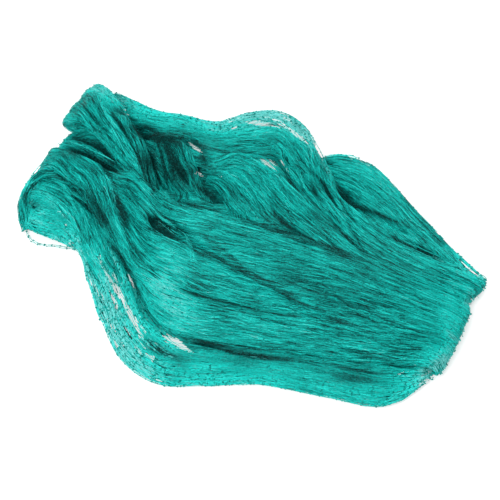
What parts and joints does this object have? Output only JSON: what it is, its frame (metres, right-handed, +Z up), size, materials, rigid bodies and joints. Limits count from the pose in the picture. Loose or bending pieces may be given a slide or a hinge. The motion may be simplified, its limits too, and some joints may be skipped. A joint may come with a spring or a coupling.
{
  "type": "folded bird netting",
  "caption": "Fine knotted garden net, gathered along its length into soft parallel folds and laid back and forth as a loose flat bundle that rests on its under side.",
  "frame": {"origin": "middle of the bundle's footprint, on the surface that it lies on", "axes": "+X along the gathered folds from the lobed end to the folded end, +Y from the low front edge to the back, +Z up"},
  "size_m": [0.6746, 0.559, 0.0798],
  "materials": {
    "netting": "satin"
  },
  "bodies": {
    "root": {"netting": "netting"}
  },
  "joints": []
}
